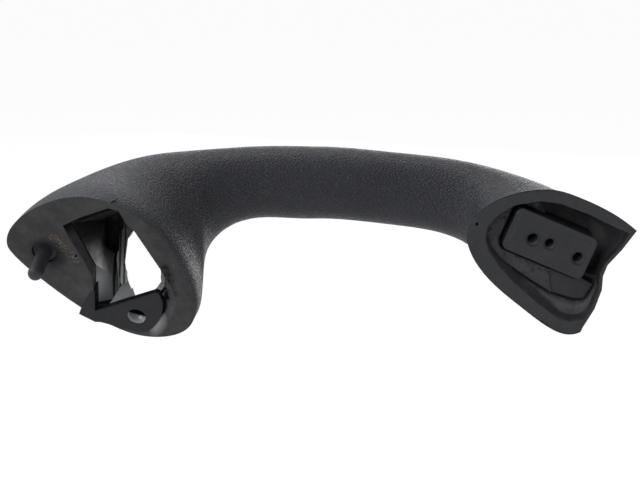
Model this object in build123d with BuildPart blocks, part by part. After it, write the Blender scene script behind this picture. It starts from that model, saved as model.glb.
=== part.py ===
from build123d import *
import math
import os

# Door pull handle, seen from its mounting side.
# Origin: centre of the boss face at the right foot. +X runs along the grip from the left foot to the
# right foot, +Y points from the door into the cabin, +Z points up. All lengths are millimetres.

# Sections of the body, left foot to right foot.
# Each station: centre x, y, z; heading and pitch of the path; reach outward, inward, up and down;
# and how much of the foot's own outline it keeps (1 = foot outline, 0 = grip oval).
left_stations = [
    ((-172.9, 5.0, -8.4), 79.4, 27.7, 38.8, 33.2, 32.2, 38.4, 1.00),
    ((-167.0, 19.0, -4.5), 76.0, 17.0, 36.5, 30.8, 30.5, 36.5, 0.85),
    ((-158.0, 30.0, 0.0), 62.0, 9.0, 32.0, 24.8, 27.8, 33.0, 0.60),
    ((-147.0, 38.0, 7.0), 42.0, 5.0, 23.0, 19.0, 22.5, 25.5, 0.30),
    ((-133.0, 43.0, 12.5), 22.0, 3.0, 15.0, 13.0, 17.5, 17.5, 0.08),
    ((-118.0, 45.3, 15.4), 6.0, 2.0, 12.7, 12.0, 15.3, 14.3, 0.0),
    ((-103.0, 46.1, 16.0), 1.0, 1.0, 12.5, 12.0, 14.9, 14.7, 0.0),
]
grip_stations = [
    ((-88.0, 46.3, 15.7), 0.0, -1.0, 12.5, 12.0, 14.9, 14.7, 0.0),
]
right_stations = [
    ((-73.0, 46.0, 14.8), -1.0, -3.0, 12.5, 12.0, 14.9, 14.7, 0.0),
    ((-58.0, 45.0, 13.3), -4.0, -5.0, 12.5, 12.0, 15.0, 14.7, 0.0),
    ((-43.0, 43.0, 11.2), -10.0, -7.0, 12.8, 12.2, 15.8, 14.4, 0.03),
    ((-29.0, 39.0, 8.3), -24.0, -7.0, 15.0, 13.0, 16.8, 15.2, 0.12),
    ((-16.0, 31.5, 4.5), -48.0, -5.0, 21.0, 17.0, 17.8, 21.0, 0.4),
    ((-5.5, 18.0, 1.0), -72.0, -2.0, 28.5, 24.5, 18.6, 30.0, 0.8),
    ((0.0, 0.0, 0.0), -90.0, 0.0, 33.5, 31.8, 21.4, 35.7, 1.0),
]

# Foot outlines in their own plane (outward, up), counter-clockwise from the outer tip.
left_foot_outline = [
    (38.8, 6.4), (33.4, 18.2), (20.0, 28.0), (4.1, 32.2), (-12.0, 27.2), (-24.3, 14.0),
    (-30.7, -3.0), (-33.2, -22.0), (-26.0, -35.4), (-9.0, -38.4), (8.0, -29.8), (26.0, -12.6),
]
right_foot_outline = [
    (33.5, 5.0), (23.0, 12.5), (10.0, 18.6), (-3.0, 21.4), (-19.8, 17.7), (-30.0, 9.5),
    (-31.8, -0.5), (-24.0, -13.5), (-10.0, -25.8), (5.0, -35.7), (17.0, -32.0), (28.0, -14.0),
]
grip_roundness = 2.3


def oval_point(k, count):
    angle = 2 * math.pi * k / count
    c, s = math.cos(angle), math.sin(angle)
    power = 2 / grip_roundness
    return (math.copysign(abs(c) ** power, c), math.copysign(abs(s) ** power, s))


def unit_outline(points):
    out = max(u for u, v in points)
    inn = -min(u for u, v in points)
    up = max(v for u, v in points)
    down = -min(v for u, v in points)
    return [(u / (out if u > 0 else inn), v / (up if v > 0 else down)) for u, v in points]


def station_plane(centre, heading, pitch):
    h, p = math.radians(heading), math.radians(pitch)
    travel = (math.cos(h) * math.cos(p), math.sin(h) * math.cos(p), math.sin(p))
    outward = (-math.sin(h), math.cos(h), 0)
    return Plane(origin=centre, x_dir=outward, z_dir=travel)


def station_points(foot, station, inset=0.0):
    _, _, _, out, inn, up, down, keep = station
    count = len(foot)
    points = []
    for k, (fu, fv) in enumerate(unit_outline(foot)):
        ou, ov = oval_point(k, count)
        u, v = keep * fu + (1 - keep) * ou, keep * fv + (1 - keep) * ov
        points.append((u * ((out if u > 0 else inn) - inset), v * ((up if v > 0 else down) - inset)))
    return points


def section(foot, station, inset=0.0):
    points = station_points(foot, station, inset)
    knots = [k / len(points) for k in range(len(points) + 1)]
    with BuildSketch(station_plane(*station[:3])) as sketch:
        with BuildLine():
            add(Edge.make_spline(points, periodic=True, parameters=knots))
        make_face()
    return sketch.sketch


# Foam and carrier thicknesses.
liner_wall = 2.2
least_foam = 2.0
end_skin = 5.0            # foam lip over the end of the carrier at the left foot face

# How far the cutting shapes run past the faces that they open.
overrun = 1.0
well_overrun = 0.6
pocket_overrun = 0.5

# Grip bar of the carrier.
bar_height = 19.0
bar_thickness = 13.0
bar_corner = 4.0

# Well in the left foot: bevelled foam lip from mouth to throat, then the carrier's liner down to the floor.
well_mouth = [
    (14.2, 18.0), (6.2, 22.3), (-5.8, 27.3), (-9.6, 26.2), (-11.7, 19.7), (-14.3, 16.4), (-21.8, -2.3),
    (-25.2, -12.0), (-25.8, -19.8), (-22.5, -28.5), (-14.5, -34.5), (8.4, -28.5), (6.7, -8.0),
    (8.6, -0.4), (12.1, 8.9),
]
well_throat = [
    (12.2, 15.8), (5.4, 20.4), (-5.4, 25.6), (-9.4, 24.9), (-11.7, 19.4), (-14.3, 16.4), (-21.8, -2.3),
    (-25.0, -12.0), (-25.4, -19.8), (-22.2, -28.0), (-14.5, -33.8), (9.4, -26.0), (6.1, -6.0),
    (8.1, 1.1), (10.1, 8.1),
]
well_floor = [
    (14.0, 17.0), (9.0, 19.5), (3.0, 20.0), (-1.0, 19.0), (-5.0, 16.0), (-7.5, 13.0), (-10.5, 1.0),
    (-9.5, -7.0), (-7.5, -12.5), (-4.5, -17.0), (2.0, -20.0), (12.5, -16.5), (13.3, -8.4),
    (14.4, 1.5), (14.2, 8.0),
]
floor_centre = (-158.0, 37.0, -14.0)
floor_pitch = -28.4
opening_outline = [
    (10.7, -1.6), (9.2, -9.6), (6.6, -15.9), (-1.1, -14.6), (-4.5, -10.0), (-4.1, -5.0), (-6.0, 3.0),
    (-5.0, 10.0), (1.0, 14.0), (7.4, 12.2), (9.8, 8.4),
]
opening_direction = (-0.10, 0.97, -0.22)
opening_corner = 1.0
opening_rib = 3.0
opening_rib_height = 4.0
opening_lead = 8.0        # the opening starts this far in front of the well floor
opening_length = 45.0

# Slot beside the opening, cut into the wall of the well.
slot_width = 5.6
slot_height = 18.0
slot_centre = (15.6, 10.8)
slot_reach = 14.0         # height of the slot above the well floor
slot_depth = 12.0         # below the well floor

# Ramp that runs from the rib of the opening down towards the lug.
ramp_top = (-166.9, 29.6, -21.4)
ramp_across = (0.959, 0.136, 0.252)
ramp_normal = (-0.19, -0.34, 0.92)
ramp_outline = [(-0.9, 1.5), (-9.0, -13.2), (1.4, -13.2), (0.9, 1.5)]
ramp_wall = 1.5

# Lug with its screw hole.
lug_thickness = 2.4
lug_hole = 7.4
lug_centre = (-8.4, -27.9)
lug_tip = (-19.4, -14.2)
lug_tip_radius = 1.5
lug_edge = [
    (-11.6, -36.0), (-6.4, -36.5), (-2.4, -35.1), (0.8, -34.3), (4.3, -32.9), (7.5, -32.0), (9.6, -32.1),
]
lug_web = [(15.7, -28.1), (13.5, -23.2), (8.4, -15.4), (7.0, -15.3), (8.6, -26.1)]
lug_end = ((-20.3, -20.0), (-17.6, -29.0), (-11.6, -36.0))

# Locating peg and the plate that carries it under the foam of the lobe.
peg_diameter = 5.8
peg_length = 15.0
peg_place = (24.2, 3.6)
peg_tip_radius = 2.5
peg_root = 10.0           # root disc, seen at the bottom of a shallow recess
peg_recess = 0.8
lobe_plate_thickness = 3.0
lobe_outline = [
    (2.0, 16.0), (20.0, 20.0), (29.0, 13.0), (32.0, 5.0), (23.0, -7.0), (12.0, -19.0), (2.0, -22.0),
]

# Boss block at the right foot, turned in the mount plane.
boss_length = 34.0
boss_width = 17.3
boss_corner = 2.5
boss_turn = -23.0
boss_depth = 20.0
screw_hole = 4.3
screw_spacing = 19.2
screw_offset = (2.8, -0.9)
centre_hole = 3.8
hole_depth = 16.0
moat_width = 1.2
moat_depth = 6.0

# Ledge of the carrier round the boss, below the mount plane.
ledge_drop = 5.0
ledge_depth = 9.0
ledge_outline = [
    (-4.0, 15.6), (-13.6, 14.4), (-20.0, 11.0), (-24.6, 6.6), (-26.0, 2.0), (-24.0, -3.5),
    (-16.9, -8.3), (-11.0, -12.4), (-5.0, -16.4), (1.5, -20.4), (10.3, -23.2), (14.5, -23.2),
    (18.0, -17.5), (12.5, -14.5), (2.0, 4.0), (-4.0, 8.0),
]
ledge_step = 1.0          # the lower right end of the ledge steps down
ledge_step_outline = [(0.2, -11.5), (2.0, -22.0), (11.0, -26.0), (21.0, -25.0), (21.0, -9.0)]

# Pocket round the boss: sloping wall to a floor, and a deeper cavity above the boss.
pocket_skin = 2.6
pocket_mouth = [
    (-25.4, 2.0), (-24.2, 7.1), (-19.4, 12.2), (-13.6, 15.4), (-3.9, 16.8), (3.8, 15.8), (15.4, 11.4),
    (23.9, 7.1), (31.2, 4.0), (34.0, -10.0), (22.0, -30.0), (12.7, -30.4), (8.4, -31.2), (3.8, -29.8),
    (-2.0, -25.6), (-7.8, -20.9), (-13.6, -15.8), (-19.4, -9.4), (-23.8, -2.9),
]
pocket_floor_depth = 11.0
pocket_floor = [
    (-22.0, 2.5), (-21.5, 5.9), (-17.6, 10.0), (-12.4, 12.8), (-3.6, 14.8), (3.4, 14.3), (14.0, 10.2),
    (21.5, 6.2), (27.0, 3.6), (31.0, -8.0), (21.0, -27.0), (12.2, -28.4), (8.6, -28.6), (5.4, -26.8),
    (1.3, -21.8), (-3.6, -16.8), (-9.4, -11.8), (-14.8, -6.4), (-20.0, -1.5),
]
cavity_depth = 19.0
cavity_outline = [
    (-3.0, 15.2), (3.6, 14.4), (14.2, 10.4), (21.7, 6.3), (30.0, 3.4), (30.0, -14.0), (16.0, -14.0),
    (4.0, 0.0),
]

# The tail of the right foot is trimmed and leaves a thin wall of skin.
tail_wall = 1.2
tail_depth = 55.0
tail_trim = [
    (34.0, 6.0), (28.0, -2.3), (22.5, -8.5), (20.9, -12.8), (20.6, -18.4), (18.0, -26.0),
    (13.7, -33.3), (10.0, -42.0), (50.0, -42.0), (50.0, 6.0),
]


def sweep_line():
    stations = left_stations[2:] + grip_stations + right_stations[:6]
    return [station[0] for station in stations]


def foot_plane(station, depth=0.0):
    return station_plane(*station[:3]).offset(depth)


left_face = left_stations[0]
floor_plane = station_plane(floor_centre, 90.0, floor_pitch)
mount_plane = station_plane((0, 0, 0), -90.0, 0.0)   # local y is up, local z points back to the door


def polygon(plane, points):
    with BuildSketch(plane) as sketch:
        with BuildLine():
            Polyline(*points, close=True)
        make_face()
    return sketch.sketch


def polygon_offset(plane, points, amount):
    with BuildSketch(plane) as sketch:
        with BuildLine():
            Polyline(*points, close=True)
        make_face()
        offset(amount=amount, kind=Kind.INTERSECTION)
    return sketch.sketch


os.makedirs("parts", exist_ok=True)

with BuildPart() as foam_limit:
    loft([section(left_foot_outline, s, least_foam) for s in left_stations + grip_stations])

with BuildPart() as well:
    throat = polygon(foot_plane(left_face, end_skin), well_throat)
    loft([polygon(foot_plane(left_face, -well_overrun), well_mouth), throat], ruled=True)
    loft([throat, polygon(floor_plane, well_floor)], ruled=True)

with BuildPart() as slot:
    with BuildSketch(floor_plane.offset(-slot_reach)):
        with Locations(slot_centre):
            Rectangle(slot_width, slot_height)
    extrude(amount=slot_reach + slot_depth)
    add(foam_limit.part, mode=Mode.INTERSECT)

with BuildPart() as front_opening:
    opening_start = Vector(floor_centre) - opening_lead * Vector(opening_direction)
    with BuildSketch(station_plane(opening_start, 90.0, floor_pitch)):
        with BuildLine():
            Polyline(*opening_outline, close=True)
        make_face()
        fillet(vertices(), opening_corner)
    extrude(amount=opening_length, dir=opening_direction)

with BuildPart() as peg_pit:
    with BuildSketch(foot_plane(left_face, -overrun)):
        with Locations(peg_place):
            Circle(peg_root / 2)
    extrude(amount=peg_recess + overrun)

tail_plane = mount_plane.offset(overrun)

with BuildPart() as tail_cut:
    extrude(polygon(tail_plane, tail_trim), amount=-tail_depth, dir=tail_plane.z_dir)

with BuildPart() as tail_skin:
    extrude(polygon_offset(tail_plane, tail_trim, tail_wall), amount=-tail_depth, dir=tail_plane.z_dir)

with BuildPart() as pocket_limit:
    loft([section(right_foot_outline, s, pocket_skin) for s in right_stations[-3:]])
    pocket_end = section(right_foot_outline, right_stations[-1], pocket_skin)
    extrude(pocket_end, amount=overrun, dir=mount_plane.z_dir)

with BuildPart() as pocket:
    loft(
        [
            polygon(mount_plane.offset(pocket_overrun), pocket_mouth),
            polygon(mount_plane.offset(-pocket_floor_depth), pocket_floor),
        ],
        ruled=True,
    )
    extrude(polygon(mount_plane, cavity_outline), amount=-cavity_depth, dir=mount_plane.z_dir)
    add(pocket_limit.part, mode=Mode.INTERSECT)
    add(tail_skin.part, mode=Mode.SUBTRACT)

with BuildPart() as body:
    left_sections = [section(left_foot_outline, s) for s in left_stations + grip_stations]
    right_sections = [section(right_foot_outline, s) for s in right_stations]
    loft(left_sections + right_sections)
    add(tail_cut.part, mode=Mode.SUBTRACT)

turn = math.radians(boss_turn)
boss_plane = Plane(origin=(0, 0, 0), x_dir=(math.cos(turn), 0, math.sin(turn)), z_dir=(0, -1, 0))


def boss_block(depth, growth=0.0):
    with BuildPart() as block:
        with BuildSketch(boss_plane):
            RectangleRounded(boss_length + 2 * growth, boss_width + 2 * growth, boss_corner + growth)
        extrude(amount=-depth)
    return block.part


boss = boss_block(boss_depth)
boss_moat = boss_block(ledge_drop + moat_depth, moat_width)

with BuildPart() as liner:
    # Wall of the well, and the plate under the foam of the lobe.
    loft(
        [
            polygon_offset(foot_plane(left_face, end_skin), well_throat, liner_wall),
            polygon_offset(floor_plane.offset(liner_wall), well_floor, liner_wall),
        ],
        ruled=True,
    )
    extrude(
        polygon(foot_plane(left_face, end_skin), lobe_outline),
        amount=lobe_plate_thickness,
        dir=foot_plane(left_face).z_dir,
    )
    add(foam_limit.part, mode=Mode.INTERSECT)

with BuildPart() as carrier:
    # Bar through the grip.
    with BuildLine() as bar_path:
        Spline(*sweep_line())
    with BuildSketch(Plane(origin=bar_path.line @ 0, z_dir=bar_path.line % 0, x_dir=(0, 0, 1))):
        RectangleRounded(bar_height, bar_thickness, bar_corner)
    sweep(path=bar_path.line)
    add(liner.part)
    add(well.part, mode=Mode.SUBTRACT)
    # Rib round the front opening, and the ramp below it.
    with BuildSketch(floor_plane.offset(-opening_rib_height)):
        with BuildLine():
            Polyline(*opening_outline, close=True)
        make_face()
        fillet(vertices(), opening_corner)
        offset(amount=opening_rib)
    extrude(amount=opening_rib_height + liner_wall)
    ramp_plane = Plane(origin=ramp_top, x_dir=ramp_across, z_dir=ramp_normal)
    extrude(polygon(ramp_plane, ramp_outline), amount=-ramp_wall, dir=ramp_plane.z_dir)
    add(front_opening.part, mode=Mode.SUBTRACT)
    add(slot.part, mode=Mode.SUBTRACT)
    # Lug with its screw hole, flush with the foot face, and the web that carries it.
    with BuildSketch(foot_plane(left_face)) as lug_sketch:
        with BuildLine():
            Polyline(*lug_web, lug_tip, lug_end[0])
            ThreePointArc(*lug_end)
            Polyline(*lug_edge, lug_web[0])
        make_face()
        fillet(lug_sketch.vertices().sort_by_distance(lug_tip)[0], lug_tip_radius)
        with Locations(lug_centre):
            Circle(lug_hole / 2, mode=Mode.SUBTRACT)
    extrude(amount=lug_thickness)
    lug_plane = foot_plane(left_face)
    extrude(polygon(lug_plane, lug_web), amount=end_skin + liner_wall, dir=lug_plane.z_dir)
    # Locating peg on its root disc.
    with BuildSketch(foot_plane(left_face, peg_recess)):
        with Locations(peg_place):
            Circle(peg_root / 2)
    extrude(amount=end_skin - peg_recess)
    with BuildSketch(foot_plane(left_face, peg_recess)):
        with Locations(peg_place):
            Circle(peg_diameter / 2)
    extrude(amount=-(peg_length + peg_recess))
    fillet(faces().sort_by(Axis.Y)[0].edges(), peg_tip_radius)
    # Boss block with its three holes and the ledge round it.
    ledge_plane = mount_plane.offset(-ledge_drop)
    extrude(polygon(ledge_plane, ledge_outline), amount=-ledge_depth, dir=ledge_plane.z_dir)
    extrude(
        polygon(ledge_plane, ledge_step_outline),
        amount=-ledge_step,
        dir=ledge_plane.z_dir,
        mode=Mode.SUBTRACT,
    )
    add(boss_moat, mode=Mode.SUBTRACT)
    add(boss)
    with BuildSketch(boss_plane):
        with Locations(screw_offset):
            with GridLocations(screw_spacing, 0, 2, 1):
                Circle(screw_hole / 2)
        Circle(centre_hole / 2)
    extrude(amount=-hole_depth, mode=Mode.SUBTRACT)

with BuildPart() as trimmed:
    add(body.part)
    for space in (well, front_opening, slot, pocket, peg_pit, carrier):
        add(space.part, mode=Mode.SUBTRACT)
    add(boss, mode=Mode.SUBTRACT)

with BuildPart() as foam_cover:
    add(trimmed.solids().sort_by(SortBy.VOLUME)[-1])

for sub_part, name in ((foam_cover, "foam_cover"), (carrier, "carrier")):
    sub_part.part.label = name
    export_step(sub_part.part, f"parts/{name}.step")
    print(name, sub_part.part.is_valid, round(sub_part.part.volume), len(sub_part.part.solids()))
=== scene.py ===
"""Door pull handle: leather-grained foam cover over a moulded carrier, seen from its mounting side."""
import math

import bmesh
import bpy
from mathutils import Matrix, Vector, noise
from mathutils.bvhtree import BVHTree
from mathutils.geometry import intersect_point_line


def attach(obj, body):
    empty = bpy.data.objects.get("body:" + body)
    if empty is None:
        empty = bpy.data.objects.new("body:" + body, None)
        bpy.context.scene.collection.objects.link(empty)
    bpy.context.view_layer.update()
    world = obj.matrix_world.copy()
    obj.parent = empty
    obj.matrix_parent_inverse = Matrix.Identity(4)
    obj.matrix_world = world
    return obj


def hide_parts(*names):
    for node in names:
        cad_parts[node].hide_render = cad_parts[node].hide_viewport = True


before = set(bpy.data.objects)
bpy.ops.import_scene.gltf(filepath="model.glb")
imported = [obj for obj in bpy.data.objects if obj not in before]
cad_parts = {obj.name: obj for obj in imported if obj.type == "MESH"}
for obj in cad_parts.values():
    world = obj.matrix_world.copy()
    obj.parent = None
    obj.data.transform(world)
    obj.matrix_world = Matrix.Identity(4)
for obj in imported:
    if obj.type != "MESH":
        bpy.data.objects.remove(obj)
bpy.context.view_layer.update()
scene = bpy.context.scene
MM = 0.001

# Centre line of the body, left foot to right foot, in metres.
CENTRE_LINE = [
    Vector(point) * MM
    for point in (
        (-172.9, 5.0, -8.4), (-167.0, 19.0, -4.5), (-158.0, 30.0, 0.0), (-147.0, 38.0, 7.0),
        (-133.0, 43.0, 12.5), (-118.0, 45.3, 15.4), (-88.0, 46.3, 15.7), (-58.0, 45.0, 13.3),
        (-43.0, 43.0, 11.2), (-29.0, 39.0, 8.3), (-16.0, 31.5, 4.5), (-5.5, 18.0, 1.0), (0.0, 0.0, 0.0),
    )
]

# The left foot's face: its origin, and the directions outward, up and into the foot.
LEFT_FACE = Vector((-172.9, 5.0, -8.4)) * MM
LEFT_OUT = Vector((-0.98295, 0.18395, 0.0))
LEFT_INTO = Vector((0.162869, 0.870285, 0.464842))
LEFT_UP = LEFT_INTO.cross(LEFT_OUT)

# The middle of the lug's screw hole, and the root of the locating peg.
LUG_HOLE = tuple(LEFT_FACE + (LEFT_OUT * -8.4 + LEFT_UP * -27.9 + LEFT_INTO * 1.2) * MM)
PEG_ROOT = (-0.1969, 0.0083, -0.0049)

# Directions on the boss face, which is turned in its plane, and its holes with their radii.
TURN = math.radians(-23.0)
ACROSS, UPWARD = Vector((math.cos(TURN), 0.0, math.sin(TURN))), Vector((-math.sin(TURN), 0.0, math.cos(TURN)))
MIDDLE = (ACROSS * 2.8 - UPWARD * 0.9) * MM
HOLES = [
    (Vector((0.0, 0.0, 0.0)), 1.9 * MM),
    (MIDDLE - ACROSS * 9.6 * MM, 2.15 * MM),
    (MIDDLE + ACROSS * 9.6 * MM, 2.15 * MM),
]

X, Y, Z = (1.0, 0.0, 0.0), (0.0, 1.0, 0.0), (0.0, 0.0, 1.0)

# The middle of the lug bore's wall facets, the depth of the ledge, and where the feet part.
LUG_BORE, LEDGE_DEPTH, FEET_APART = 3.65 * MM, 5.0 * MM, -0.12

# The lower end of the pocket slopes up: where it starts, its length, how far it rises, and its least depth.
SLOPE_TOP, SLOPE_LENGTH, SLOPE_RISE, SLOPE_DEPTH = -11.0 * MM, 7.0 * MM, 0.52, 5.5 * MM

# Kinds of face on the foam and on the carrier: each is the place of its material in the piece's list.
SKIN, RIM, INSIDE, HIDDEN = 0, 1, 2, 3
DULL, WALL, RAMP, LEDGE = 0, 1, 2, 3

# Faces of the carrier that look along one of these ways, within a limit, are its inner ones that are painted pale
# with light.
PAINTED_LIGHT_WAYS = [
    (Vector((-0.19, -0.34, 0.92)), 0.97, RAMP),
    (Vector((0.0, -0.88, 0.476)), 0.99, RAMP),
]


class Nodes:
    """A material's node tree, with short calls for the nodes that the finishes share."""

    def __init__(self, name):
        self.material = bpy.data.materials.new(name)
        self.material.use_nodes = True
        self.tree = self.material.node_tree
        self.tree.nodes.clear()
        self.output = self.add("ShaderNodeOutputMaterial")
        self.spot = self.add("ShaderNodeTexCoord").outputs["Object"]

    def add(self, kind, **settings):
        node = self.tree.nodes.new(kind)
        for key, value in settings.items():
            setattr(node, key, value)
        return node

    def link(self, source, target):
        self.tree.links.new(source, target)

    def stretched(self, scale):
        node = self.add("ShaderNodeMapping")
        node.inputs["Scale"].default_value = scale
        self.link(self.spot, node.inputs["Vector"])
        return node.outputs["Vector"]

    def noise(self, scale, detail=3.0, roughness=0.5, vector=None):
        node = self.add("ShaderNodeTexNoise")
        node.inputs["Scale"].default_value = scale
        node.inputs["Detail"].default_value = detail
        node.inputs["Roughness"].default_value = roughness
        self.link(vector or self.spot, node.inputs["Vector"])
        return node.outputs["Fac"]

    def cells(self, scale, feature="DISTANCE_TO_EDGE", vector=None):
        node = self.add("ShaderNodeTexVoronoi", feature=feature)
        node.inputs["Scale"].default_value = scale
        self.link(vector or self.spot, node.inputs["Vector"])
        return node.outputs["Distance"]

    def ramp(self, value, stops):
        node = self.add("ShaderNodeValToRGB")
        elements = node.color_ramp.elements
        while len(elements) < len(stops):
            elements.new(0.5)
        for element, (position, colour) in zip(elements, stops):
            element.position = position
            element.color = (*colour, 1.0)
        self.link(value, node.inputs["Fac"])
        return node.outputs["Color"]

    def spread(self, value, low, high, to_low=0.0, to_high=1.0):
        node = self.add("ShaderNodeMapRange")
        for socket, number in (("From Min", low), ("From Max", high), ("To Min", to_low), ("To Max", to_high)):
            node.inputs[socket].default_value = number
        self.link(value, node.inputs["Value"])
        return node.outputs["Result"]

    def math(self, operation, first, second=None):
        node = self.add("ShaderNodeMath", operation=operation)
        self.link(first, node.inputs[0])
        if isinstance(second, float):
            node.inputs[1].default_value = second
        elif second is not None:
            self.link(second, node.inputs[1])
        return node.outputs[0]

    def along(self, direction, origin=(0.0, 0.0, 0.0)):
        """Distance of the surface point from an origin, along a direction."""
        offset = self.add("ShaderNodeVectorMath", operation="SUBTRACT")
        self.link(self.spot, offset.inputs[0])
        offset.inputs[1].default_value = origin
        dot = self.add("ShaderNodeVectorMath", operation="DOT_PRODUCT")
        self.link(offset.outputs["Vector"], dot.inputs[0])
        dot.inputs[1].default_value = direction
        return dot.outputs["Value"]

    def on_foot(self, direction):
        """Distance from the middle of the left foot's face, along a direction."""
        return self.along(tuple(direction), tuple(LEFT_FACE))

    def near(self, place, radius, soft):
        """1 at a place, falling to 0 at the radius."""
        node = self.add("ShaderNodeVectorMath", operation="DISTANCE")
        self.link(self.spot, node.inputs[0])
        node.inputs[1].default_value = place
        return self.spread(node.outputs["Value"], radius, radius - soft)

    def joined(self, operation, values):
        """One operation carried through a list of values."""
        result = values[0]
        for value in values[1:]:
            result = self.math(operation, result, value)
        return result

    def largest(self, values):
        return self.joined("MAXIMUM", values)

    def product(self, values):
        return self.joined("MULTIPLY", values)

    def tint(self, mask, colour, other, amount=1.0):
        """The colour, turned into another one where the mask is 1, by an amount."""
        node = self.add("ShaderNodeMix", data_type="RGBA")
        if amount < 1.0:
            mask = self.math("MULTIPLY", mask, amount)
        self.link(mask, node.inputs["Factor"])
        self.link(colour, node.inputs["A"])
        node.inputs["B"].default_value = (*other, 1.0)
        return node.outputs["Result"]

    def soft_edges(self, radius):
        node = self.add("ShaderNodeBevel", samples=4)
        node.inputs["Radius"].default_value = radius
        return node.outputs["Normal"]

    def bump(self, height, distance, strength=1.0, normal=None, invert=False):
        node = self.add("ShaderNodeBump", invert=invert)
        node.inputs["Strength"].default_value = strength
        node.inputs["Distance"].default_value = distance
        self.link(height, node.inputs["Height"])
        if normal is not None:
            self.link(normal, node.inputs["Normal"])
        return node.outputs["Normal"]

    def principled(self, colour, roughness, normal, specular=0.5, dull=None):
        """The finish itself. Where the dull mask is 1 there is no sheen, which deepens the painted shade that most
        dull masks carry.
        """
        shader = self.add("ShaderNodeBsdfPrincipled")
        self.link(colour, shader.inputs["Base Color"])
        self.link(roughness, shader.inputs["Roughness"])
        self.link(normal, shader.inputs["Normal"])
        shader.inputs["Specular IOR Level"].default_value = specular
        if dull is not None:
            self.link(self.spread(dull, 0.0, 1.0, specular, 0.0), shader.inputs["Specular IOR Level"])
        self.link(shader.outputs["BSDF"], self.output.inputs["Surface"])
        return self.material


def leather_grain():
    """Blue-grey moulded skin with a fine leather grain."""
    n = Nodes("leather_grain")
    colour = n.ramp(
        n.noise(34.0, 4.0, 0.55),
        [(0.30, (0.0160, 0.0170, 0.0232)), (0.55, (0.0195, 0.0206, 0.0275)), (0.78, (0.0240, 0.0252, 0.0325))],
    )
    creased = n.stretched((1.0, 1.0, 1.45))
    pebbles = n.spread(n.cells(690.0, vector=creased), 0.0, 0.30)
    wrinkles = n.noise(1050.0, 3.0, 0.62, vector=creased)
    # Painted sheen: the shoulder over the left foot is paler, standing in for the top light's sheen.
    colour = n.tint(n.spread(n.along(X), -0.148, -0.168, 0.0, 0.80), colour, (0.0500, 0.0515, 0.0620))
    colour = n.tint(n.spread(pebbles, 0.5, 0.0, 0.0, 0.45), colour, (0.011, 0.0115, 0.014))
    rough = n.spread(n.noise(230.0, 4.0, 0.6), 0.3, 0.7, 0.42, 0.54)
    normal = n.bump(n.noise(95.0, 2.0, 0.5), 0.0006, 0.35)
    normal = n.bump(wrinkles, 0.00023, 0.80, normal)
    normal = n.bump(pebbles, 0.00025, 0.90, normal)
    return n.principled(colour, rough, normal, specular=0.34)


def lip_painted_highlight(n, colour):
    """The colour, with the lip beside the end of the lug painted pale as a highlight."""
    lit_patch = n.product([n.near(LUG_HOLE, 0.0130, 0.0036), n.spread(n.on_foot(LEFT_OUT), -0.0120, -0.0150)])
    return n.tint(lit_patch, colour, (0.200, 0.203, 0.210), 0.9)


def foam_rim():
    """Matte moulded rims of the feet: fine cells, mottling, pinholes and specks of ochre ink."""
    n = Nodes("foam_rim")
    colour = n.ramp(
        n.noise(190.0, 6.0, 0.68),
        [(0.34, (0.0200, 0.0200, 0.0216)), (0.52, (0.0285, 0.0286, 0.0304)), (0.70, (0.0400, 0.0400, 0.0415))],
    )
    # The right foot's rim is bluer and more even.
    right_foot = n.spread(n.along(X), -0.13, -0.09, 0.0, 0.65)
    colour = n.tint(right_foot, colour, (0.0350, 0.0362, 0.0425))
    # Scuffed and rubbed patches.
    rubbed = n.spread(n.noise(60.0, 5.0, 0.7), 0.52, 0.70, 0.0, 0.55)
    colour = n.tint(rubbed, colour, (0.0460, 0.0460, 0.0475))
    # Specks of ink along a short slanted row.
    row = [(-192.4, 3.4, 1.4), (-190.6, 4.2, -0.7), (-188.6, 5.0, -3.0), (-186.5, 6.0, -5.5), (-184.9, 6.8, -7.6)]
    inked = n.product([
        n.largest([n.near(tuple(value * MM for value in place), 0.0024, 0.0007) for place in row]),
        n.spread(n.cells(1500.0, "F1"), 0.46, 0.32),
        n.spread(n.noise(420.0, 2.0, 0.5), 0.40, 0.56, 0.45, 1.0),
    ])
    colour = n.tint(inked, colour, (0.175, 0.125, 0.058))
    # The recess round the peg lies in soft shade.
    shaded = n.near((-0.1952, 0.0080, -0.0058), 0.0092, 0.0055)
    colour = n.tint(shaded, colour, (0.0120, 0.0120, 0.0135), 0.55)
    # Pinholes left by trapped air, with the shade inside them painted near black.
    pits = n.largest([
        n.near((-0.18433, 0.00593, -0.00614), 0.00075, 0.00035),
        n.near((-0.02844, 0.0, 0.00782), 0.00075, 0.0003),
        n.near((-0.0360, 0.0, -0.0040), 0.0004, 0.0002),
    ])
    colour = n.tint(pits, colour, (0.002, 0.002, 0.002))
    # Torn streaks beside the end of the lug.
    torn = [
        (-0.1492, 0.0016, -0.0105), (-0.1489, 0.0028, -0.0132), (-0.1486, 0.0041, -0.0158),
        (-0.1482, 0.0053, -0.0184), (-0.1477, 0.0066, -0.0210),
    ]
    streaks = n.noise(700.0, 3.0, 0.6, vector=n.stretched((1.6, 0.5, 0.35)))
    streaks = n.product([
        n.largest([n.near(place, 0.0036, 0.0026) for place in torn]),
        n.spread(streaks, 0.40, 0.58, 0.55, 1.0),
    ])
    colour = n.tint(streaks, colour, (0.0060, 0.0061, 0.0068), 0.80)
    rough = n.spread(n.noise(260.0, 4.0, 0.6), 0.3, 0.7, 0.58, 0.78)
    normal = n.bump(streaks, 0.0005, 0.8, n.soft_edges(0.0007), invert=True)
    normal = n.bump(n.noise(300.0, 4.0, 0.62), 0.00042, 0.55, normal)
    normal = n.bump(n.cells(1900.0, "F1"), 0.00008, 0.55, normal)
    normal = n.bump(pits, 0.0003, 1.0, normal, invert=True)
    dull = n.largest([pits, shaded, streaks])
    # The lip beside the end of the lug is painted pale as a highlight.
    return n.principled(lip_painted_highlight(n, colour), rough, normal, specular=0.30, dull=dull)


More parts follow.
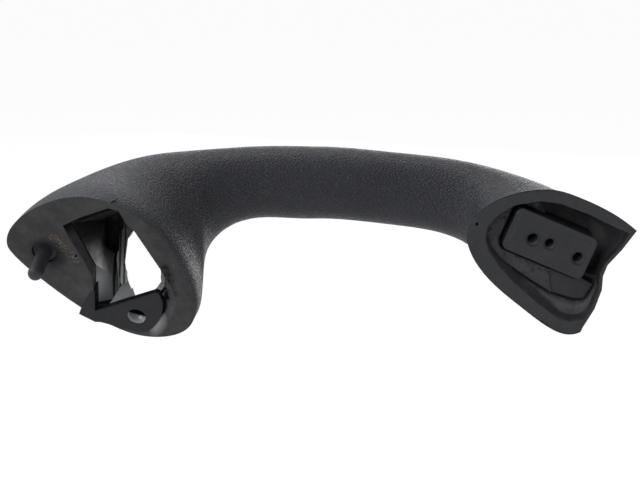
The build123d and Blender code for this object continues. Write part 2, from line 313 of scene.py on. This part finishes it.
def foam_inside():
    """Foam inside the pocket and the well: skin with runs, folds and small bumps from the mould."""
    n = Nodes("foam_inside")
    colour = n.ramp(
        n.noise(170.0, 5.0, 0.65),
        [(0.32, (0.0260, 0.0264, 0.0292)), (0.55, (0.0390, 0.0394, 0.0425)), (0.75, (0.0560, 0.0565, 0.0595))],
    )
    # Painted light: the foam under the lug, seen through its screw hole, is painted pale where light falls on it.
    colour = n.tint(n.near((-0.1627, 0.0221, -0.0341), 0.0075, 0.0015), colour, (0.560, 0.565, 0.575))
    # The lip beside the end of the lug is painted pale as a highlight.
    colour = lip_painted_highlight(n, colour)
    # The right end and the lower slope of the pocket are paler.
    pale = n.product([
        n.largest([n.spread(n.along(X), 0.0170, 0.0230), n.spread(n.along(Z), -0.0120, -0.0200)]),
        n.spread(n.along(X), -0.121, -0.120),
        n.spread(n.along(Y), 0.0050, 0.0056),
    ])
    colour = n.tint(pale, colour, (0.105, 0.106, 0.113), 0.55)
    # Streaks of torn foam beside the end of the lug.
    streaks = n.noise(620.0, 3.0, 0.6, vector=n.stretched((1.5, 0.5, 0.35)))
    streaks = n.product([
        n.spread(streaks, 0.40, 0.56, 0.25, 1.0),
        n.near((-0.1497, 0.0068, -0.0178), 0.0090, 0.0030),
    ])
    colour = n.tint(streaks, colour, (0.0090, 0.0092, 0.0100), 0.75)
    # Painted shade: a dark seam where the lip meets the carrier, the shaded upper lip and the recess round the peg.
    depth, up = n.on_foot(LEFT_INTO), n.on_foot(LEFT_UP)
    seam = n.product([
        n.spread(depth, 0.0039, 0.0047),
        n.spread(depth, 0.0075, 0.0060),
        n.spread(up, -0.0200, -0.0150),
    ])
    recess = n.math("MULTIPLY", n.near(PEG_ROOT, 0.0070, 0.0010), 0.55)
    dark = n.product([n.largest([seam, n.spread(up, 0.0105, 0.0155), recess]), n.spread(n.along(X), -0.120, -0.121)])
    colour = n.tint(dark, colour, (0.0050, 0.0051, 0.0058), 0.85)
    rough = n.spread(n.noise(300.0, 3.0, 0.6), 0.3, 0.7, 0.46, 0.66)
    normal = n.soft_edges(0.0006)
    normal = n.bump(n.noise(560.0, 4.0, 0.62), 0.00050, 0.65, normal)
    normal = n.bump(n.noise(210.0, 3.0, 0.55), 0.0006, 0.50, normal)
    return n.principled(colour, rough, normal, specular=0.32, dull=dark)


def torn_skin_painted_shade():
    """Edge of torn skin, painted dark and dull as the shade of the crease it lies in."""
    n = Nodes("torn_skin_painted_shade")
    colour = n.ramp(n.noise(500.0), [(0.35, (0.0040, 0.0042, 0.0052)), (0.65, (0.0095, 0.0098, 0.0115))])
    rough = n.spread(n.noise(300.0), 0.3, 0.7, 0.60, 0.80)
    return n.principled(colour, rough, n.bump(n.noise(900.0), 0.0001), specular=0.10)


def carrier_plastic():
    """Dark bluish filled plastic of the carrier, dull, with faint flow marks, scuffs and a line on the boss."""
    n = Nodes("carrier_plastic")
    colour = n.ramp(
        n.noise(85.0, 5.0, 0.62),
        [(0.30, (0.0178, 0.0185, 0.0225)), (0.55, (0.0228, 0.0236, 0.0280)), (0.78, (0.0300, 0.0308, 0.0355))],
    )
    # The disc at the root of the peg and the roof of the well lie in the dark.
    left_foot = n.spread(n.along(X), -0.130, -0.135)
    disc = n.product([n.near(PEG_ROOT, 0.0066, 0.0006), n.spread(n.on_foot(LEFT_INTO), 0.0003, 0.0007, 0.0, 0.50)])
    shaded = n.product([n.largest([disc, n.spread(n.on_foot(LEFT_UP), 0.0080, 0.0125)]), left_foot])
    colour = n.tint(shaded, colour, (0.0050, 0.0052, 0.0060), 0.85)
    # Painted shade: the lug and its web are darker.
    lug = n.product([n.spread(n.on_foot(LEFT_UP), -0.0060, -0.0110), left_foot])
    colour = n.tint(lug, colour, (0.0080, 0.0085, 0.0110), 0.85)
    # Thin engraved line inside the edge of the boss face.
    across = n.math("ABSOLUTE", n.along(tuple(ACROSS)))
    height = n.math("ABSOLUTE", n.along(tuple(UPWARD)))
    edge = n.largest([n.math("SUBTRACT", across, 0.0152), n.math("SUBTRACT", height, 0.00685)])
    line = n.spread(n.math("ABSOLUTE", edge), 0.00030, 0.00012)
    line = n.product([line, n.spread(n.along(Y), 0.0004, 0.0003)])
    colour = n.tint(line, colour, (0.050, 0.051, 0.056), 0.30)
    scuffs = n.spread(n.noise(420.0, 5.0, 0.7), 0.60, 0.75, 0.0, 0.40)
    colour = n.tint(scuffs, colour, (0.046, 0.047, 0.051))
    rough = n.spread(n.noise(210.0, 4.0, 0.65), 0.3, 0.7, 0.42, 0.58)
    normal = n.soft_edges(0.0009)
    normal = n.bump(n.noise(1700.0, 3.0, 0.5), 0.00006, 0.5, normal)
    normal = n.bump(n.noise(170.0, 3.0, 0.5), 0.00035, 0.35, normal)
    normal = n.bump(line, 0.0002, 0.8, normal, invert=True)
    dull = n.largest([shaded, n.math("MULTIPLY", lug, 0.35)])
    return n.principled(colour, rough, normal, specular=0.34, dull=dull)


def plastic_painted_pale(name, dark, middle, light):
    """Smoother inner walls of the well, painted lighter for the light that reaches into it, with streaks where the
    tool drew out.
    """
    n = Nodes(name)
    streaked = n.stretched((1.0, 0.35, 1.0))
    colour = n.ramp(
        n.noise(210.0, 5.0, 0.65, vector=streaked),
        [(0.30, dark), (0.55, middle), (0.78, light)],
    )
    # Painted light and shade: it is palest near the floor, and darkens above a fold that crosses it.
    colour = n.tint(n.spread(n.along(Z), -0.0090, -0.0180), colour, (0.400, 0.405, 0.415), 0.90)
    fold = n.along((-0.62, -0.55, 0.75), (-0.1776, 0.0218, -0.0056))
    colour = n.tint(n.spread(fold, -0.0006, 0.0008), colour, (0.017, 0.0178, 0.0205))
    # Two ribs stand beside the opening, with painted shade in dark grooves between them.
    slits = []
    for place, half_width in ((-0.1724, 0.00055), (-0.17025, 0.00045), (-0.1684, 0.00035)):
        aside = n.math("ABSOLUTE", n.along(X, (place, 0.0, 0.0)))
        slits.append(n.spread(aside, half_width, half_width * 0.5))
    groove = n.product([n.largest(slits), n.spread(n.along(Y), 0.0270, 0.0282)])
    colour = n.tint(groove, colour, (0.012, 0.0125, 0.014), 0.9)
    rough = n.spread(n.noise(260.0, 3.0, 0.6), 0.3, 0.7, 0.30, 0.44)
    normal = n.bump(groove, 0.0004, 0.8, n.soft_edges(0.0004), invert=True)
    normal = n.bump(n.noise(330.0, 3.0, 0.55, vector=streaked), 0.00035, 0.5, normal)
    return n.principled(colour, rough, normal, specular=0.5, dull=groove)


def nearest_on_centre_line(point):
    best = None
    for start, end in zip(CENTRE_LINE, CENTRE_LINE[1:]):
        part = intersect_point_line(point, start, end)[1]
        spot = start.lerp(end, min(max(part, 0.0), 1.0))
        if best is None or (spot - point).length < (best - point).length:
            best = spot
    return best


def on_left_foot(point):
    """Place on the left foot's face: outward, up, and depth below the face."""
    offset = point - LEFT_FACE
    return offset.dot(LEFT_OUT), offset.dot(LEFT_UP), offset.dot(LEFT_INTO)


def in_well(point):
    return point.x < FEET_APART


def in_pocket(point):
    return point.x > FEET_APART


def kind_of_foam(face):
    """Grained outside, rim of a foot, visible inside, or hidden against the carrier."""
    centre = face.calc_center_median()
    if in_well(centre):
        depth, face_on = on_left_foot(centre)[2], -face.normal.dot(LEFT_INTO)
    else:
        depth, face_on = centre.y, -face.normal.y
    if face_on > 0.9 and depth < 0.6 * MM:
        return RIM
    outward = centre - nearest_on_centre_line(centre)
    if face.normal.dot(outward) > 0.25 * outward.length:
        return SKIN
    if carrier_tree.find_nearest(centre)[3] < 0.06 * MM:
        return HIDDEN
    return INSIDE


def kind_of_plastic(face):
    """Inner walls of the well and the bores are painted pale with light, the left half of the ledge carries foam
    flash.
    """
    centre = face.calc_center_median()
    if centre.x < -0.13 and on_left_foot(centre)[2] > 4.9 * MM:
        for way, limit, kind in PAINTED_LIGHT_WAYS:
            if face.normal.dot(way.normalized()) > limit:
                return kind
        if face.normal.x > 0.45 and face.normal.z > -0.60:
            return WALL
    if -30.0 * MM < centre.x < 0.3 * MM and abs(centre.y - LEDGE_DEPTH) < 0.05 * MM:
        return LEDGE
    # The lug bore and the boss holes take the pale ramp finish: painted light inside the bores.
    from_lug = centre - Vector(LUG_HOLE)
    from_axis = (from_lug - LEFT_INTO * from_lug.dot(LEFT_INTO)).length
    if abs(from_axis - LUG_BORE) < 0.1 * MM and from_lug.length < 6.0 * MM:
        return RAMP
    for hole, radius in HOLES:
        if centre.y > -MM and abs(Vector((centre.x - hole.x, 0.0, centre.z - hole.z)).length - radius) < 0.15 * MM:
            return RAMP
    return DULL


def piece_from(node, name, finishes, kind_of_face):
    """A welded copy of a CAD node's mesh as a piece of its own, with a finish for each kind of face."""
    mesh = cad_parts[node].data.copy()
    mesh.name = name
    mesh.materials.clear()
    for finish in finishes:
        mesh.materials.append(finish)
    if mesh.attributes.get("custom_normal"):
        mesh.attributes.remove(mesh.attributes["custom_normal"])
    piece = bpy.data.objects.new(name, mesh)
    scene.collection.objects.link(piece)
    work = bmesh.new()
    work.from_mesh(mesh)
    bmesh.ops.remove_doubles(work, verts=work.verts, dist=2e-6)
    work.normal_update()
    for face in work.faces:
        face.material_index = kind_of_face(face)
        face.smooth = True
    return piece, work


def refine(work, kind, longest):
    """Split the faces of a kind until none of their edges is longer than the limit."""
    for _ in range(7):
        edges = [
            edge for edge in work.edges
            if edge.calc_length() > longest and any(face.material_index == kind for face in edge.link_faces)
        ]
        if not edges:
            return
        bmesh.ops.subdivide_edges(work, edges=edges, cuts=1)
        bmesh.ops.triangulate(work, faces=[face for face in work.faces if len(face.verts) > 3])


def inner_points(work, kind, chosen=None):
    """Points whose faces are all of one kind, in the whole piece or in the part that is chosen."""
    return [
        point for point in work.verts
        if (chosen is None or chosen(point.co)) and all(face.material_index == kind for face in point.link_faces)
    ]


def lip_swell(point):
    """How far the foam lip swells into the well beside the end of the lug."""
    outward, up, depth = (value / MM for value in on_left_foot(point))
    if outward > -8.0 or not 0.0 < depth < 5.0:
        return 0.0
    along = min(max((-4.0 - up) / 8.0, 0.0), 1.0) * min(max((up + 38.0) / 6.0, 0.0), 1.0)
    return along * 3.3 * MM * math.sin(math.pi * min(depth / 4.4, 1.0)) ** 0.8


carrier_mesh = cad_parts["carrier"].data
carrier_tree = BVHTree.FromPolygons(
    [point.co.copy() for point in carrier_mesh.vertices], [tuple(face.vertices) for face in carrier_mesh.polygons]
)

# Foam cover.
inside = foam_inside()
cover, work = piece_from(
    "foam_cover",
    "cover_skin",
    (leather_grain(), foam_rim(), inside, inside),
    kind_of_foam,
)
refine(work, INSIDE, 1.3 * MM)
for point in inner_points(work, INSIDE, in_pocket):
    lift = min(max((SLOPE_TOP - point.co.z) / SLOPE_LENGTH, 0.0), 1.0)
    if point.co.y > SLOPE_DEPTH:
        point.co.y = max(point.co.y * (1.0 - SLOPE_RISE * lift), SLOPE_DEPTH)
for rounds, chosen in ((20, in_pocket), (3, in_well)):
    points = inner_points(work, INSIDE, chosen)
    for _ in range(rounds):
        bmesh.ops.smooth_vert(work, verts=points, factor=0.5, use_axis_x=True, use_axis_y=True, use_axis_z=True)
work.normal_update()
for point in inner_points(work, INSIDE):
    place = point.co * 1000.0
    lumps = noise.noise(place / 3.1) * 0.30 + noise.noise(place / 1.35) * 0.16
    swell = lip_swell(point.co)
    if in_pocket(point.co):
        lumps *= 0.55
    elif swell > 0.0:
        lumps *= 3.2
    point.co += point.normal * (lumps * MM + swell)
work.to_mesh(cover.data)
work.free()
cover.data.set_sharp_from_angle(angle=math.radians(42.0))
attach(cover, "root")
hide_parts("foam_cover")

# A thread of torn skin that curls up beside the left rim.
thread = bpy.data.curves.new("skin_thread", "CURVE")
thread.dimensions = "3D"
thread.bevel_depth = 0.22 * MM
thread.bevel_resolution = 2
run = thread.splines.new("NURBS")
bends = [(-168.5, -9.9, 18.0), (-167.7, -9.5, 18.5), (-166.9, -9.1, 18.6), (-166.2, -8.9, 19.1), (-165.7, -8.6, 19.7)]
run.points.add(len(bends) - 1)
for point, bend, size in zip(run.points, bends, (0.5, 1.0, 1.2, 0.9, 0.4)):
    point.co = (*(value * MM for value in bend), 1.0)
    point.radius = size
run.order_u = 3
run.use_endpoint_u = True
torn = bpy.data.objects.new("skin_thread", thread)
scene.collection.objects.link(torn)
thread.materials.append(torn_skin_painted_shade())
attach(torn, "root")

# Carrier.
carrier, work = piece_from(
    "carrier",
    "carrier_dressed",
    (
        carrier_plastic(),
        # The walls and the ramp of the well are painted pale, for light that reaches into the well.
        plastic_painted_pale("wall_painted_light", (0.042, 0.044, 0.047), (0.058, 0.060, 0.064), (0.074, 0.076, 0.080)),
        plastic_painted_pale("ramp_painted_light", (0.140, 0.142, 0.148), (0.200, 0.203, 0.210), (0.260, 0.263, 0.270)),
        inside,
    ),
    kind_of_plastic,
)

# Small chamfers at the mouths of the boss holes.
mouths = [
    edge for edge in work.edges
    if any(
        all(abs(end.co.y) < 0.02 * MM and abs((end.co - hole).length - radius) < 0.06 * MM for end in edge.verts)
        for hole, radius in HOLES
    )
]
bmesh.ops.bevel(work, geom=mouths, offset=0.6 * MM, segments=2, affect="EDGES", clamp_overlap=True)

# Foam flash on the left half of the ledge.
refine(work, LEDGE, 1.2 * MM)
for point in inner_points(work, LEDGE):
    place = point.co * 1000.0
    lumps = noise.noise(place / 2.6) * 0.85 + noise.noise(place / 1.1) * 0.55
    point.co.y -= (abs(lumps) * 1.2 + 0.05) * MM
work.to_mesh(carrier.data)
work.free()
carrier.data.set_sharp_from_angle(angle=math.radians(30.0))
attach(carrier, "root")
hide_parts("carrier")

# Floor, light and camera.
floor_mesh = bpy.data.meshes.new("floor")
reach, floor_z = 6.0, -0.16
floor_mesh.from_pydata(
    [(-reach, -reach, floor_z), (reach, -reach, floor_z), (reach, reach, floor_z), (-reach, reach, floor_z)],
    [],
    [(0, 1, 2, 3)],
)
floor = bpy.data.objects.new("floor", floor_mesh)
scene.collection.objects.link(floor)
ground = Nodes("pale_floor")
matte = ground.add("ShaderNodeBsdfDiffuse")
matte.inputs["Color"].default_value = (0.85, 0.85, 0.85, 1.0)
glow = ground.add("ShaderNodeEmission")
glow.inputs["Strength"].default_value = 1.0
path = ground.add("ShaderNodeLightPath")
seen = ground.math("MAXIMUM", path.outputs["Is Camera Ray"], path.outputs["Is Glossy Ray"])
seen = ground.math("MAXIMUM", seen, path.outputs["Is Transmission Ray"])
blend = ground.add("ShaderNodeMixShader")
ground.link(ground.math("MULTIPLY", seen, 0.95), blend.inputs["Fac"])
ground.link(matte.outputs[0], blend.inputs[1])
ground.link(glow.outputs[0], blend.inputs[2])
ground.link(blend.outputs[0], ground.output.inputs["Surface"])
floor_mesh.materials.append(ground.material)

world = bpy.data.worlds.new("studio")
world.use_nodes = True
scene.world = world
tree = world.node_tree
tree.nodes.clear()
sky = tree.nodes.new("ShaderNodeBackground")
sky.inputs["Color"].default_value = (1.0, 1.0, 1.0, 1.0)
sky_path = tree.nodes.new("ShaderNodeLightPath")
sky_seen = tree.nodes.new("ShaderNodeMath")
sky_seen.operation = "MAXIMUM"
sky_level = tree.nodes.new("ShaderNodeMapRange")
sky_level.inputs["To Min"].default_value = 0.42
sky_level.inputs["To Max"].default_value = 1.0
sky_output = tree.nodes.new("ShaderNodeOutputWorld")
tree.links.new(sky_path.outputs["Is Camera Ray"], sky_seen.inputs[0])
tree.links.new(sky_path.outputs["Is Transmission Ray"], sky_seen.inputs[1])
tree.links.new(sky_seen.outputs[0], sky_level.inputs["Value"])
tree.links.new(sky_level.outputs["Result"], sky.inputs["Strength"])
tree.links.new(sky.outputs[0], sky_output.inputs["Surface"])

TARGET = Vector((-0.089, 0.020, -0.00275))


def lamp(name, place, size, power):
    light = bpy.data.lights.new(name, "AREA")
    light.shape = "RECTANGLE"
    light.size, light.size_y = size
    light.energy = power
    holder = bpy.data.objects.new(name, light)
    holder.location = place
    holder.rotation_euler = (TARGET - Vector(place)).to_track_quat("-Z", "Y").to_euler()
    holder.visible_camera = False
    scene.collection.objects.link(holder)


lamp("top_light", (-0.15, 0.62, 1.05), (1.7, 1.0), 10.0)
lamp("front_light", (-0.65, -1.15, 0.85), (0.8, 0.8), 6.0)
lamp("left_light", (-1.10, 0.00, 0.75), (0.8, 0.8), 8.0)
lamp("back_light", (0.30, 1.15, 0.05), (1.2, 0.7), 8.0)

camera_data = bpy.data.cameras.new("camera")
camera_data.sensor_width = 36.0
camera_data.lens = 98.9
camera = bpy.data.objects.new("camera", camera_data)
camera.location = (-0.089, -0.6647, 0.1428)
camera.rotation_euler = (math.radians(90.0 - 12.0), 0.0, 0.0)
scene.collection.objects.link(camera)
scene.camera = camera
scene.view_settings.view_transform = "Standard"
